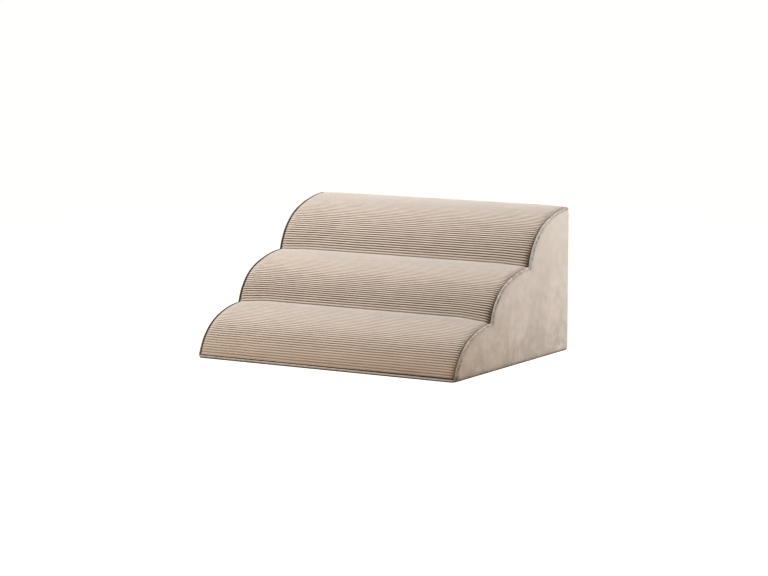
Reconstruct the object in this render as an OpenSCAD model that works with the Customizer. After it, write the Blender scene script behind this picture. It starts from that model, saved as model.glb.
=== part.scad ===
// Three scalloped foam steps for a pet, in a removable cover of ribbed corduroy and suede.
// X runs across the width, +Y to the back and +Z up. The origin is on the floor, below the centre.

/* [Steps] */
// Width over the two side panels
stair_w = 600; // [420:10:800]
// Depth of the lower step, from its front to the first valley
lower_going = 148; // [125:1:190]
// Rise of the lower step, from the floor to the first valley
lower_rise = 98; // [90:1:125]
// Depth of the middle step
middle_going = 160; // [135:1:200]
// Rise of the middle step
middle_rise = 95; // [85:1:120]
// Depth of the upper step
upper_going = 172; // [145:1:210]
// Rise of the upper step
upper_rise = 107; // [95:1:130]

/* [Step profile] */
// Slope of a lobe where its riser starts, in degrees
riser_slope = 76; // [70:1:82]
// Slope where the round nose turns into the flatter tread, in degrees
nose_slope = 23; // [18:1:28]
// Slope of a tread where it meets the next riser, in degrees
tread_slope = 2.5; // [0:0.5:5]

/* [Cover] */
// Thickness of the corduroy's backing, below its ribs
corduroy_back_t = 1.2; // [0.8:0.1:2.5]
// Height of a corduroy rib above the backing
rib_h = 1.6; // [0.8:0.1:2.5]
// Distance from one corduroy rib to the next, along the tread
rib_pitch = 5.6; // [4.5:0.1:12]
// Thickness of the suede panels at the sides and back
suede_t = 1.5; // [1:0.1:3]
// Diameter of the piping cord round the corduroy
piping_d = 2.8; // [2:0.1:4]
// Thickness of the non-slip bottom panel
bottom_t = 1.5; // [1:0.1:3]
// Height of the turned-up hem above the bottom panel, at the front
hem_h = 4; // [2:0.5:10]
// Thickness of the turned-up hem
hem_t = 2.4; // [1:0.1:3]

/* [Foam and liner] */
// Thickness of the soft comfort layer over each lobe
comfort_t = 20; // [10:1:28]
// Thickness of the inner liner
liner_t = 0.8; // [0.4:0.1:2]
// Gap between two layers that lie on each other
layer_gap = 0.3; // [0.3:0.05:0.6]

/* [Valley tapes] */
// Distance from the sides to the ends of the hook and loop tapes
hold_tape_inset = 50; // [20:5:120]
// Width of a hook or loop tape
hold_tape_w = 20; // [10:1:30]
// Thickness of one hook or loop tape
hold_tape_t = 1.1; // [0.8:0.1:2]

/* [Zip] */
// Distance from the sides to the ends of the zip's coil and stops
zip_inset = 20; // [16:1:60]
// Height of the zip above the floor
zip_z = 42; // [30:1:60]
// Width of one fabric tape of the zip
zip_tape_w = 12; // [9:0.5:14]
// Thickness of the zip's fabric tape
zip_tape_t = 0.8; // [0.5:0.1:1.2]
// Length of tape past the stops, at each end
zip_tail = 12; // [6:1:13]
// Width of one row of coil
coil_w = 2.6; // [2:0.1:3.5]
// Thickness of the coil
coil_t = 1.8; // [1.4:0.1:2.5]
// Gap between the two rows of coil, where the slider's post runs
coil_gap = 1.2; // [1:0.1:2]
// Length of a stop at the end of the coil
stop_l = 3; // [2:0.5:5]
// Gap between the coil and the edge of the suede beside it
coil_margin = 2; // [1.6:0.1:4]
// Gap between the stops and an end tab, which runs on to the side
end_tab_gap = 2.5; // [1:0.5:5]
// Thickness of an end tab, which fills the mouth between the two edges of suede
end_tab_t = 1.3; // [0.6:0.1:2]

/* [Slider and pull] */
// Length of the slider along the zip
slider_l = 10; // [8:0.5:14]
// Thickness of each of the slider's two plates
slider_plate_t = 1.1; // [0.8:0.1:1.6]
// Thickness of the slider's flanges beside the coil
flange_t = 0.9; // [0.6:0.1:1.2]
// Gap between the slider and what it runs along
running_gap = 0.3; // [0.25:0.05:0.5]
// Width of the slider's bridge, which holds the pull
bridge_w = 2; // [1.5:0.1:3]
// Thickness of the bridge's legs and top bar
bridge_t = 1; // [0.8:0.1:1.5]
// Diameter of the pull's cross bar, under the bridge
pull_bar_d = 1.3; // [1:0.1:1.8]
// Length of the pull from its cross bar to its round end
pull_l = 24; // [16:1:32]
// Width of the pull
pull_w = 6; // [5:0.5:9]
// Radius of the hole near the pull's end
pull_hole_r = 1.4; // [0.8:0.1:1.8]

/* [Hidden] */
$fn = 48;

// Straight facets on the round nose of a lobe, and on its flatter tread
nose_facets = 12;
tread_facets = 8;
// Angles across one rib, from the groove before it to the groove after it
rib_phases = [-90, -60, -30, 0, 30, 60];
// Sides of the piping cord
piping_sides = 8;

// The steps from the front, counted from 0, each with its lobe
goings = [lower_going, middle_going, upper_going];
rises = [lower_rise, middle_rise, upper_rise];
last_lobe = len(goings) - 1;
lobes = [0:last_lobe];
stair_d = lower_going + middle_going + upper_going;
back_y = stair_d / 2;

// Depths below the crests of the ribs, from the outside in
corduroy_t = rib_h + corduroy_back_t;
loop_depth = corduroy_t + layer_gap;
hook_depth = loop_depth + hold_tape_t + layer_gap;
liner_depth = hook_depth + hold_tape_t + layer_gap;
comfort_depth = liner_depth + liner_t + layer_gap;
foam_depth = comfort_depth + comfort_t;
piping_depth = piping_d / 2;
side_depth = piping_d + layer_gap;

// Half widths, from the outside in
cover_x = stair_w / 2;
suede_x = cover_x - suede_t;
tread_x = cover_x - piping_d - layer_gap;
liner_x = suede_x - layer_gap;
foam_x = liner_x - liner_t - layer_gap;
hold_tape_x = cover_x - hold_tape_inset;

// Heights above the floor, from the bottom up
liner_z = bottom_t + layer_gap;
liner_top_z = liner_z + liner_t;
foam_z = liner_top_z + layer_gap;
hem_z = bottom_t + hem_h;
piping_z = hem_z + layer_gap + piping_d / 2;
tread_z = piping_z + piping_d / 2 + layer_gap;

// The zip, from the back face of the suede inwards and outwards
suede_y = back_y - suede_t;
zip_tape_y = suede_y - zip_tape_t;
lower_plate_y = zip_tape_y - running_gap - slider_plate_t;
liner_y = lower_plate_y - running_gap;
foam_y = liner_y - liner_t - layer_gap;
coil_y = suede_y + coil_t;
upper_plate_y = coil_y + running_gap;
upper_plate_top_y = upper_plate_y + slider_plate_t;
pull_bar_y = upper_plate_top_y + running_gap + pull_bar_d / 2;
bridge_y = pull_bar_y + pull_bar_d / 2 + running_gap;

// Half heights of the zip about its centre line
coil_inner = coil_gap / 2;
coil_outer = coil_inner + coil_w;
zip_tape_outer = coil_inner + zip_tape_w;
zip_mouth = coil_outer + coil_margin;

// Places along the zip
zip_end_x = cover_x - zip_inset;
coil_end_x = zip_end_x - stop_l;
tab_x = zip_end_x + end_tab_gap;
slider_x = coil_end_x - running_gap - slider_l / 2;

// The slider's plates narrow from their shoulders to their tail, and its parts take shares of it
slider_shoulder = coil_outer + running_gap + flange_t;
slider_tail = coil_outer + running_gap + flange_t / 2;
slider_post_t = coil_gap - 2 * running_gap;
flange_share = 0.6;
post_share = 0.2;
bridge_share = 0.7;
flange_l = slider_l * flange_share;
post_l = slider_l * post_share;
bridge_l = slider_l * bridge_share;

function total(values, count) = count == 0 ? 0 : values[count - 1] + total(values, count - 1);
function reversed(list) = [for (i = [len(list) - 1:-1:0]) list[i]];

// Where lobe i starts, which is the valley before it
function valley(i) = [total(goings, i) - back_y, total(rises, i)];

// The outward normal of a surface that slopes up to the back at angle a
function normal(a) = [-sin(a), cos(a)];

// Radii of lobe i's two tangent arcs, its nose and its tread
function lobe_radii(going, rise) =
  let (
    nose_run = sin(riser_slope) - sin(nose_slope),
    nose_rise = cos(nose_slope) - cos(riser_slope),
    tread_run = sin(nose_slope) - sin(tread_slope),
    tread_rise = cos(tread_slope) - cos(nose_slope),
    divisor = nose_run * tread_rise - tread_run * nose_rise
  )
  [
    (going * tread_rise - rise * tread_run) / divisor,
    (rise * nose_run - going * nose_rise) / divisor
  ];
radii = [for (i = lobes) lobe_radii(goings[i], rises[i])];
nose_centres = [for (i = lobes) valley(i) - radii[i][0] * normal(riser_slope)];
tread_centres = [for (i = lobes) valley(i + 1) - radii[i][1] * normal(tread_slope)];

// Point of lobe i at slope a, at a depth below the crests of the ribs
function lobe_point(i, a, depth) = a > nose_slope
  ? nose_centres[i] + (radii[i][0] - depth) * normal(a)
  : tread_centres[i] + (radii[i][1] - depth) * normal(a);

// Slope at which the lower lobe's line at a depth reaches height z
function slope_at_z(z, depth) = acos((z - nose_centres[0][1]) / (radii[0][0] - depth));

// Slope at which the upper lobe's line at a depth reaches y
function slope_at_y(y, depth) = asin((tread_centres[last_lobe][0] - y) / (radii[last_lobe][1] - depth));

// How a valley's corner moves, for each unit of depth
valley_mitre = (normal(tread_slope) + normal(riser_slope)) / (1 + cos(riser_slope - tread_slope));
function valley_point(i, depth) = valley(i) - depth * valley_mitre;

// Slopes of lobe i's facets, from its start to its end
function lobe_slopes(i, depth, z, y) =
  let (
    first = i == 0 ? slope_at_z(z, depth) : riser_slope,
    last = i == last_lobe ? slope_at_y(y, depth) : tread_slope
  )
  concat(
    [for (k = [0:nose_facets - 1]) first + (nose_slope - first) * k / nose_facets],
    [for (k = [0:tread_facets]) nose_slope + (last - nose_slope) * k / tread_facets]
  );

// Lobe i's line at a depth, cut at height z in front and at y behind, with its valley corners
function lobe_line(i, depth, z, y) = concat(
  i == 0 ? [] : [valley_point(i, depth)],
  [for (a = lobe_slopes(i, depth, z, y)) lobe_point(i, a, depth)],
  i == last_lobe ? [] : [valley_point(i + 1, depth)]
);
function stair_line(depth, z, y) = [for (i = lobes) each lobe_line(i, depth, z, y)];

// Lays a drawing of the side, in Y and Z, across the width from x1 to x2
module across(x1, x2) {
  translate([x1, 0, 0])
    rotate([90, 0, 90])
      linear_extrude(x2 - x1)
        children();
}

// A layer over lobe i, between two depths
module lobe_layer(i, depth1, depth2, z, y) {
  polygon(concat(lobe_line(i, depth1, z, y), reversed(lobe_line(i, depth2, z, y))));
}

// The whole side of the stairs below a depth
module side_shape(depth, z, y) {
  line = stair_line(depth, z, y);
  polygon(concat(line, [[y, z]]));
}

// A block between two corners
module block(low, high) {
  translate(low) cube(high - low);
}

// Foam

// A tier is a flat slab whose front follows its lobe, below the comfort layer
module foam_tier(i) {
  floor_z = i == 0 ? foam_z : valley_point(i, foam_depth)[1];
  line = lobe_line(i, foam_depth, foam_z, foam_y);
  ceiling_z = line[len(line) - 1][1];
  across(-foam_x, foam_x)
    polygon(concat(line, [if (i != last_lobe) [foam_y, ceiling_z]], [[foam_y, floor_z]]));
}

module foam_tier_lower() {
  color("ivory") foam_tier(0);
}

module foam_tier_middle() {
  color("ivory") foam_tier(1);
}

module foam_tier_upper() {
  color("ivory") foam_tier(2);
}

module comfort_foam(i) {
  across(-foam_x, foam_x)
    lobe_layer(i, comfort_depth, foam_depth, foam_z, foam_y);
}

module comfort_foam_lower() {
  color("khaki") comfort_foam(0);
}

module comfort_foam_middle() {
  color("khaki") comfort_foam(1);
}

module comfort_foam_upper() {
  color("khaki") comfort_foam(2);
}

// Liner

module liner_tread_sheet() {
  color("whitesmoke")
    across(-liner_x, liner_x)
      polygon(concat(
        stair_line(liner_depth, liner_top_z, liner_y),
        reversed(stair_line(liner_depth + liner_t, liner_top_z, liner_y))
      ));
}

module liner_side() {
  side_shape(comfort_depth, liner_top_z, liner_y - liner_t);
}

module liner_side_left() {
  color("whitesmoke") across(-liner_x, -liner_x + liner_t) liner_side();
}

module liner_side_right() {
  color("whitesmoke") across(liner_x - liner_t, liner_x) liner_side();
}

// The back's top edge stops below the sheet over the treads
module liner_back() {
  top_z = lobe_point(last_lobe, slope_at_y(liner_y - liner_t, comfort_depth), comfort_depth)[1];
  color("whitesmoke")
    block([-liner_x, liner_y - liner_t, liner_top_z], [liner_x, liner_y, top_z]);
}

module liner_bottom() {
  front_y = lobe_point(0, slope_at_z(liner_top_z, liner_depth), liner_depth)[0];
  color("whitesmoke")
    block([-liner_x, front_y, liner_z], [liner_x, liner_y, liner_top_z]);
}

// Valley tapes, on the tread side of each valley

// A tape lies along the last stretch of lobe i's tread
module hold_tape(i, depth) {
  turn = hold_tape_w / radii[i][1] * 180 / PI;
  slopes = [for (k = [0:tread_facets]) tread_slope + turn * (1 - k / tread_facets)];
  across(-hold_tape_x, hold_tape_x)
    polygon(concat(
      [for (a = slopes) lobe_point(i, a, depth)],
      reversed([for (a = slopes) lobe_point(i, a, depth + hold_tape_t)])
    ));
}

module valley_hook_tapes() {
  color("dimgray")
    for (i = [0:last_lobe - 1]) hold_tape(i, hook_depth);
}

module valley_loop_tapes() {
  color("gray")
    for (i = [0:last_lobe - 1]) hold_tape(i, loop_depth);
}

// Cover

// The upper edge of the corduroy from one slope to another, with a round rib at each pitch
function ribs(i, first, last) =
  let (
    nose_l = radii[i][0] * (first - nose_slope) * PI / 180,
    tread_l = radii[i][1] * (nose_slope - last) * PI / 180,
    count = round((nose_l + tread_l) / rib_pitch),
    pitch = (nose_l + tread_l) / count
  )
  [
    for (k = [0:count - 1], phase = rib_phases)
      rib_point(i, first, nose_l, (k + 1 / 2 + sin(phase) / 2) * pitch, rib_h * (1 - cos(phase)))
  ];

// Point at a distance along lobe i from the slope where its ribs start
function rib_point(i, first, nose_l, along, depth) =
  let (a = along < nose_l
    ? first - along / radii[i][0] * 180 / PI
    : nose_slope - (along - nose_l) / radii[i][1] * 180 / PI)
  lobe_point(i, a, depth);

// A corduroy panel, mitred against its neighbour in each valley
module tread_cover(i) {
  first = i == 0 ? slope_at_z(tread_z, rib_h) : riser_slope;
  last = i == last_lobe ? slope_at_y(back_y, rib_h) : tread_slope;
  across(-tread_x, tread_x)
    polygon(concat(
      i == 0 ? [] : [valley_point(i, rib_h)],
      ribs(i, first, last),
      [lobe_point(i, last, rib_h)],
      i == last_lobe ? [] : [valley_point(i + 1, rib_h)],
      reversed(lobe_line(i, corduroy_t, tread_z, back_y))
    ));
}

module tread_cover_lower() {
  color("tan") tread_cover(0);
}

module tread_cover_middle() {
  color("tan") tread_cover(1);
}

module tread_cover_upper() {
  color("tan") tread_cover(2);
}

module side_cover_left() {
  color("bisque") across(-cover_x, -suede_x) side_shape(side_depth, bottom_t, back_y);
}

module side_cover_right() {
  color("bisque") across(suede_x, cover_x) side_shape(side_depth, bottom_t, back_y);
}

// The back panel runs from the zip up to the corduroy's underside
module back_cover() {
  top_z = lobe_point(last_lobe, slope_at_y(suede_y, loop_depth), loop_depth)[1];
  color("bisque")
    block([-suede_x, suede_y, zip_z + zip_mouth], [suede_x, back_y, top_z]);
}

// The strip of suede below the zip
module back_skirt() {
  color("bisque")
    block([-suede_x, suede_y, bottom_t], [suede_x, back_y, zip_z - zip_mouth]);
}

module bottom_cover() {
  color("dimgray") block([-cover_x, -back_y, 0], [cover_x, back_y, bottom_t]);
}

// Piping

// Centre of the cord and its outward direction in the side view, from the front bottom to the back
piping_path = [
  for (i = lobes) each concat(
    i == 0 ? [] : [[valley_point(i, piping_depth), valley_mitre]],
    [
      for (a = lobe_slopes(i, piping_depth, hem_z + 2 * layer_gap, back_y))
        [lobe_point(i, a, piping_depth), normal(a)]
    ]
  )
];

// A round cord swept along the path, centred at x
module side_piping(x) {
  ring_angles = [for (k = [0:piping_sides - 1]) (k + 1 / 2) * 360 / piping_sides];
  points = [
    for (step = piping_path, a = ring_angles)
      let (centre = step[0] + step[1] * cos(a) * piping_d / 2)
      [x + sin(a) * piping_d / 2, centre[0], centre[1]]
  ];
  last = len(piping_path) - 1;
  last_point = last * piping_sides;
  sides = [
    for (ring = [0:last - 1], k = [0:piping_sides - 1])
      let (
        here = ring * piping_sides,
        next = here + piping_sides,
        j = (k + 1) % piping_sides
      )
      each [[here + k, next + k, next + j], [here + k, next + j, here + j]]
  ];
  start = [for (k = [1:piping_sides - 2]) [0, k, k + 1]];
  end = [for (k = [1:piping_sides - 2]) [last_point, last_point + k + 1, last_point + k]];
  polyhedron(points, concat(start, sides, end));
}

module side_piping_left() {
  color("saddlebrown") side_piping(-cover_x + piping_d / 2);
}

module side_piping_right() {
  color("saddlebrown") side_piping(cover_x - piping_d / 2);
}

// The front cord fits between the two side cords
module front_piping() {
  end_x = cover_x - piping_d - layer_gap;
  centre = lobe_point(0, slope_at_z(piping_z, piping_depth), piping_depth);
  color("saddlebrown")
    translate([-end_x, centre[0], centre[1]])
      rotate([0, 90, 0])
        cylinder(h = 2 * end_x, d = piping_d);
}

// The bottom panel's edge, turned up in front and folded flat
module front_hem_band() {
  color("antiquewhite")
    across(-cover_x, cover_x)
      polygon([
        lobe_point(0, slope_at_z(bottom_t, 0), 0),
        lobe_point(0, slope_at_z(hem_z, 0), 0),
        lobe_point(0, slope_at_z(hem_z, hem_t), hem_t),
        lobe_point(0, slope_at_z(bottom_t, hem_t), hem_t)
      ]);
}

// Zip

// A bar along the zip, between two distances from its centre line on one side of it
module zip_bar(side, x1, x2, y1, y2, inner, outer) {
  z1 = side * inner;
  z2 = side * outer;
  translate([0, 0, zip_z])
    block([x1, y1, min(z1, z2)], [x2, y2, max(z1, z2)]);
}

module zip_tape(side) {
  tape_end_x = zip_end_x + zip_tail;
  zip_bar(side, -tape_end_x, tape_end_x, zip_tape_y, suede_y, coil_inner, zip_tape_outer);
}

module zip_tape_upper() {
  color("tan") zip_tape(1);
}

module zip_tape_lower() {
  color("tan") zip_tape(-1);
}

module zip_coil_upper() {
  color("tan") zip_bar(1, -coil_end_x, coil_end_x, suede_y, coil_y, coil_inner, coil_outer);
}

module zip_coil_lower() {
  color("tan") zip_bar(-1, -coil_end_x, coil_end_x, suede_y, coil_y, coil_inner, coil_outer);
}

// One top stop on each tape, at the closed end
module zip_top_stops() {
  color("silver")
    for (side = [-1, 1]) zip_bar(side, coil_end_x, zip_end_x, suede_y, coil_y, coil_inner, coil_outer);
}

// One bottom stop across both tapes, at the open end
module zip_bottom_stop() {
  color("silver")
    zip_bar(1, -zip_end_x, -coil_end_x, suede_y, coil_y, -coil_outer, coil_outer);
}

// A folded tab sewn over the ends of the tapes, at each side, between the edges of the suede
module zip_end_tabs() {
  half_w = (suede_x - tab_x) / 2;
  half_h = zip_mouth - layer_gap;
  color("bisque")
    for (side = [-1, 1])
      translate([side * (tab_x + half_w), 0, zip_z])
        block([-half_w, suede_y, -half_h], [half_w, suede_y + end_tab_t, half_h]);
}

// Lays a drawing, in X and Z, from y1 to y2
module along_back(y1, y2) {
  translate([0, y2, 0])
    rotate([90, 0, 0])
      linear_extrude(y2 - y1)
        children();
}

// Outline of a slider plate, with its shoulders towards the closed end
module slider_outline() {
  half_l = slider_l / 2;
  chamfer = flange_t;
  shoulder_x = half_l - flange_l;
  polygon([
    [-half_l, -slider_tail],
    [shoulder_x, -slider_shoulder],
    [half_l - chamfer, -slider_shoulder],
    [half_l, chamfer - slider_shoulder],
    [half_l, slider_shoulder - chamfer],
    [half_l - chamfer, slider_shoulder],
    [shoulder_x, slider_shoulder],
    [-half_l, slider_tail]
  ]);
}

module zip_slider() {
  half_l = slider_l / 2;
  color("silver")
    translate([slider_x, 0, zip_z]) {
      // The plate behind the tapes, and the plate over the coil
      along_back(lower_plate_y, lower_plate_y + slider_plate_t) slider_outline();
      along_back(upper_plate_y, upper_plate_top_y) slider_outline();
      // The post that parts the two rows and joins the plates
      block(
        [half_l - post_l, lower_plate_y, -slider_post_t / 2],
        [half_l, upper_plate_top_y, slider_post_t / 2]
      );
      // The flanges that guide the coil from outside
      for (side = [-1, 1])
        translate([0, 0, side * (slider_shoulder - flange_t / 2)])
          block(
            [half_l - flange_l, suede_y + running_gap, -flange_t / 2],
            [half_l - flange_t, upper_plate_top_y, flange_t / 2]
          );
      // The bridge over the pull's cross bar
      difference() {
        block(
          [-bridge_l / 2, upper_plate_top_y, -bridge_w / 2],
          [bridge_l / 2, bridge_y + bridge_t, bridge_w / 2]
        );
        block(
          [bridge_t - bridge_l / 2, upper_plate_top_y, -bridge_w],
          [bridge_l / 2 - bridge_t, bridge_y, bridge_w]
        );
      }
    }
}

// A flat tab on two arms, whose cross bar turns under the slider's bridge
module zip_pull() {
  arm_w = (pull_w - bridge_w) / 2 - running_gap;
  arm_z = bridge_w / 2 + running_gap;
  tab_start = bridge_l / 2 + pull_bar_d / 2 + running_gap;
  color("silver")
    translate([slider_x, pull_bar_y, zip_z]) {
      translate([0, 0, -arm_z - arm_w])
        cylinder(h = 2 * (arm_z + arm_w), d = pull_bar_d);
      for (z = [-arm_z - arm_w, arm_z])
        block([-tab_start, -pull_bar_d / 2, z], [0, pull_bar_d / 2, z + arm_w]);
      along_back(-pull_bar_d / 2, pull_bar_d / 2)
        difference() {
          union() {
            translate([-pull_l + pull_w / 2, -pull_w / 2])
              square([pull_l - pull_w / 2 - tab_start, pull_w]);
            translate([-pull_l + pull_w / 2, 0])
              circle(d = pull_w);
          }
          translate([-pull_l + pull_w / 2, 0])
            circle(r = pull_hole_r);
        }
    }
}

foam_tier_lower();
foam_tier_middle();
foam_tier_upper();
comfort_foam_lower();
comfort_foam_middle();
comfort_foam_upper();
liner_tread_sheet();
liner_side_left();
liner_side_right();
liner_back();
liner_bottom();
valley_hook_tapes();
valley_loop_tapes();
tread_cover_lower();
tread_cover_middle();
tread_cover_upper();
side_cover_left();
side_cover_right();
back_cover();
back_skirt();
bottom_cover();
side_piping_left();
side_piping_right();
front_piping();
front_hem_band();
zip_tape_upper();
zip_tape_lower();
zip_coil_upper();
zip_coil_lower();
zip_top_stops();
zip_bottom_stop();
zip_end_tabs();
zip_slider();
zip_pull();
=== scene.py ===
"""Looks of the pet stairs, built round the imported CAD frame: ribbed corduroy over three lobes, suede panels
at the sides and back, a dark cord in the seams, and below them the liner, the foam and the zip."""

import math

import bmesh
import bpy
import numpy as np
from mathutils import Matrix, Vector

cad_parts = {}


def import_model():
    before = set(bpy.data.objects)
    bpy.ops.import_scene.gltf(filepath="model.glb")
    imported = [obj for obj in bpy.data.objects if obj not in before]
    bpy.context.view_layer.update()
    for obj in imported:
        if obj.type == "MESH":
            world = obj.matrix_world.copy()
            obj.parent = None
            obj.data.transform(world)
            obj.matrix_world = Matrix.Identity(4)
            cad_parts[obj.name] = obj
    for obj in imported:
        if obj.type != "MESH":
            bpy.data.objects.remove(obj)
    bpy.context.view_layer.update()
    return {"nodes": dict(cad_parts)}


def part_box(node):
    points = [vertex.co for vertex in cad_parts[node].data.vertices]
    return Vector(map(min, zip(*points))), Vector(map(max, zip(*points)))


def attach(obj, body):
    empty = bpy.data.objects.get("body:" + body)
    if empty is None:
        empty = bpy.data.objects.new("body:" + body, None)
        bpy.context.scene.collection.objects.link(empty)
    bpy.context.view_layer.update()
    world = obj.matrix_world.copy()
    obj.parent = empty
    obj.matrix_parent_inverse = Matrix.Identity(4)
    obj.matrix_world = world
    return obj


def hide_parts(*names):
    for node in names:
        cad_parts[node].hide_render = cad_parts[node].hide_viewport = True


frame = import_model()

MM = 0.001

# Driving sizes of the part, in metres and radians
GOINGS = (0.148, 0.160, 0.172)
RISES = (0.098, 0.095, 0.107)
RISER_SLOPE, NOSE_SLOPE, TREAD_SLOPE = (math.radians(a) for a in (76, 23, 2.5))
RIB_H, RIB_PITCH, GROOVE_DEPTH = 1.6 * MM, 5.6 * MM, 2.2 * MM
CORDUROY_T, SUEDE_T, LINER_T = 2.8 * MM, 1.5 * MM, 0.8 * MM
HOLD_T, HOLD_W, HOLD_X = 1.1 * MM, 20 * MM, 250 * MM
LOOP_DEPTH, HOOK_DEPTH, LINER_DEPTH = 3.1 * MM, 4.5 * MM, 5.9 * MM
COMFORT_DEPTH, FOAM_DEPTH, SIDE_EDGE_DEPTH = 7.0 * MM, 27.0 * MM, 3.1 * MM
FOAM_X, LINER_X = 297.1 * MM, 298.2 * MM
COVER_X, TREAD_X, BACK_Y = 300 * MM, 296.9 * MM, 240 * MM
FOAM_Y, LINER_Y, SUEDE_Y = 234.9 * MM, 236.0 * MM, 238.5 * MM
BOTTOM_T, LINER_TOP_Z, FOAM_Z, SIDE_Z = 1.5 * MM, 2.6 * MM, 2.9 * MM, 2.7 * MM
HEM_TOP_Z, PIPING_Z, TREAD_LOW_Z = 5.5 * MM, 6.2 * MM, 6.8 * MM
ZIP_Z, COIL_IN, COIL_OUT, COIL_X, TABS_X = 42 * MM, 0.6 * MM, 3.2 * MM, 277 * MM, 282.5 * MM
LOBES = (0, 1, 2)
NAMES = ("lower", "middle", "upper")
SIDES = {-1: "left", 1: "right"}
BODY = "stairs"

# Angles across one rib, from groove to groove, at which it has rows of points
RIB_PHASES = np.radians([-90, -62, -38, -18, 0, 18, 38, 62])
# In millimetres: how far in from the left and the right seam the corduroy rolls down, how far a near and a
# wide shade reach in from the right one, and the rounding of the foam's edges
ROLLS_IN, SEAM_DARK, FOAM_ROUND = (3.4, 6.0), (7, 16), 1.2
# How far the full pads push each valley up between the side seams, by lobe above it
VALLEY_LIFT = (0, 7.5 * MM, 4.0 * MM)
# The suede's edge, in millimetres: distance past the side's face, and depth below the crests. Its roll
# beside the cord is lower at the left than at the right. A sewn channel and the panel's swell follow.
ROLLS = {
    -1: ((-1.5, 4.2), (-0.9, 3.6), (-0.35, 3.2), (0.1, 3.0), (0.5, 3.05), (0.85, 3.3), (1.05, 3.75)),
    1: ((-1.25, 4.0), (-0.8, 3.1), (-0.35, 2.5), (0.15, 2.2), (0.6, 2.35), (0.95, 2.8), (1.1, 3.6)),
}
CHANNEL = (
    (1.1, 3.95), (0.9, 4.25), (0.55, 4.5), (0.15, 4.75), (-0.1, 5.0), (-0.05, 5.35), (0.3, 5.9), (0.8, 6.9),
    (1.25, 8.6), (1.65, 11.0), (1.95, 14.0), (2.15, 17.3), (2.25, 21.0),
)
# Which of those rows is stitched, and the channel's depth
STITCH_RING, CHANNEL_DEPTH = 11, 5.9 * MM
# The suede's rows near an edge, in millimetres from it, and the side panel's rows above its lower edge,
# of which the last is above any column's top
NEAR_EDGE = (0, 0.35, 0.8, 1.4, 2.2, 3.4, 5.5, 9)
PANEL_ROWS = np.array([*NEAR_EDGE, 15, 24, 36, 52, 72, 96, 124, 156, 190, 228, 1000]) * MM
# Stitches: their spacing, length and thread radius, with the thickness and rise of the thread along one
STITCH_PITCH, STITCH_L, THREAD_R = 5.4 * MM, 3.7 * MM, 0.33 * MM
STITCH_PLACES = np.array([-1, -0.85, -0.4, 0, 0.4, 0.85, 1])
STITCH_THICK = np.array([0.35, 0.85, 1, 1, 1, 0.85, 0.35])
STITCH_RISE = np.array([-1.1, -0.4, 0.35, 0.55, 0.35, -0.4, -1.1])
# The bottom's edge, in millimetres: distance past the sides, and height
# Its dark rim stands out past the sides, so that it also stands in for the contact shadow on the floor
BOTTOM_EDGE = (
    (-3.4, 1.5), (-2.4, 2.3), (-1.4, 2.75), (-0.3, 2.7), (0.6, 2.2), (1.0, 1.4), (0.7, 0.45), (0.0, 0.12),
    (-1.3, 0.1), (-2.2, 0.3), (-3.4, 0.5),
)
# Its corners: towards which sides, the angle at which each starts, and its radius
BOTTOM_CORNERS = ((1, 1, 0, 2 * MM), (-1, 1, 90, 2 * MM), (-1, -1, 180, 9 * MM), (1, -1, 270, 9 * MM))
DOT_STEP, DOT_R, DOT_MARGIN, DOT_SIDES = 13 * MM, 2.1 * MM, 12 * MM, 10
# Radius of each side's cord, its distance from the middle, and its depth below the crests
# The left cord is thicker, so that it also stands in for the shade along the left edge
CORDS = {-1: (2.2 * MM, 298.4 * MM, 1.95 * MM), 1: (1.5 * MM, 298.3 * MM, 1.75 * MM)}
CORD_SIDES = 14

# Looks, as linear colours
CORDUROY = (0.70, 0.582, 0.492)
# Painted shade over the treads: the corduroy is multiplied by this greyer colour there
TREAD_SHADE = (0.84, 0.895, 0.955)
# Painted shade between the ribs: the colours that the rib flanks and the grooves take in shade
CORDUROY_FLANK = (0.50, 0.35, 0.235)
CORDUROY_GROOVE = (0.080, 0.045, 0.023)
SEAM_SHADE = (0.085, 0.044, 0.019)
SUEDE = (0.675, 0.617, 0.566)
CORD_BROWN = (0.026, 0.019, 0.014)
# Painted light: the lighter brown of the right cord where it is lit
CORD_LIT_BROWN = (0.38, 0.25, 0.155)
# The dark bottom cloth: its own colour, and along its rim also a stand-in for the contact shadow
GRIP_BROWN = (0.038, 0.030, 0.024)
GRIP_DOT = (0.16, 0.13, 0.105)
# The pale hem, which painted shade darkens towards the left
HEM = (0.86, 0.78, 0.70)
# Painted shade on the suede along the seams, the sewn channel and the lower edge
SUEDE_SEAM_SHADE = (0.075, 0.052, 0.037)
# Painted shade on the side panels, low and in front
SUEDE_LOW_SHADE = (0.45, 0.31, 0.19)
# Painted shade on the corduroy near the floor
CORDUROY_FLOOR_SHADE = (0.78, 0.69, 0.61)
THREAD = (0.34, 0.27, 0.21)
CORE_FOAM = (0.84, 0.80, 0.68)
COMFORT_FOAM = (0.86, 0.78, 0.50)
LINER = (0.82, 0.82, 0.80)
HOOK, LOOP = (0.40, 0.35, 0.30), (0.50, 0.44, 0.38)
ZIP_TAPE = (0.42, 0.35, 0.28)
COIL = (0.38, 0.31, 0.25)
METAL = (0.45, 0.44, 0.42)

# The photograph's camera and light
CAMERA_AT, CAMERA_YAW, CAMERA_PITCH, LENS = (2.83616, -4.74848, 0.88794), -0.538459, 0.134928, 126.82
SOFT_LIGHT = 0.42
COOL, WARM = (0.955, 0.985, 1.0), (1.0, 0.91, 0.80)
FLOOR_COLOUR, FLOOR_GLOW, FLOOR_HALF = (0.34, 0.24, 0.14), 0.96, 40


# Curves of the steps, in the side view (y, z)


def normal(a):
    """The outward direction of a surface that slopes up to the back at angle a."""
    return np.stack([-np.sin(a), np.cos(a)], axis=-1)


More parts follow.
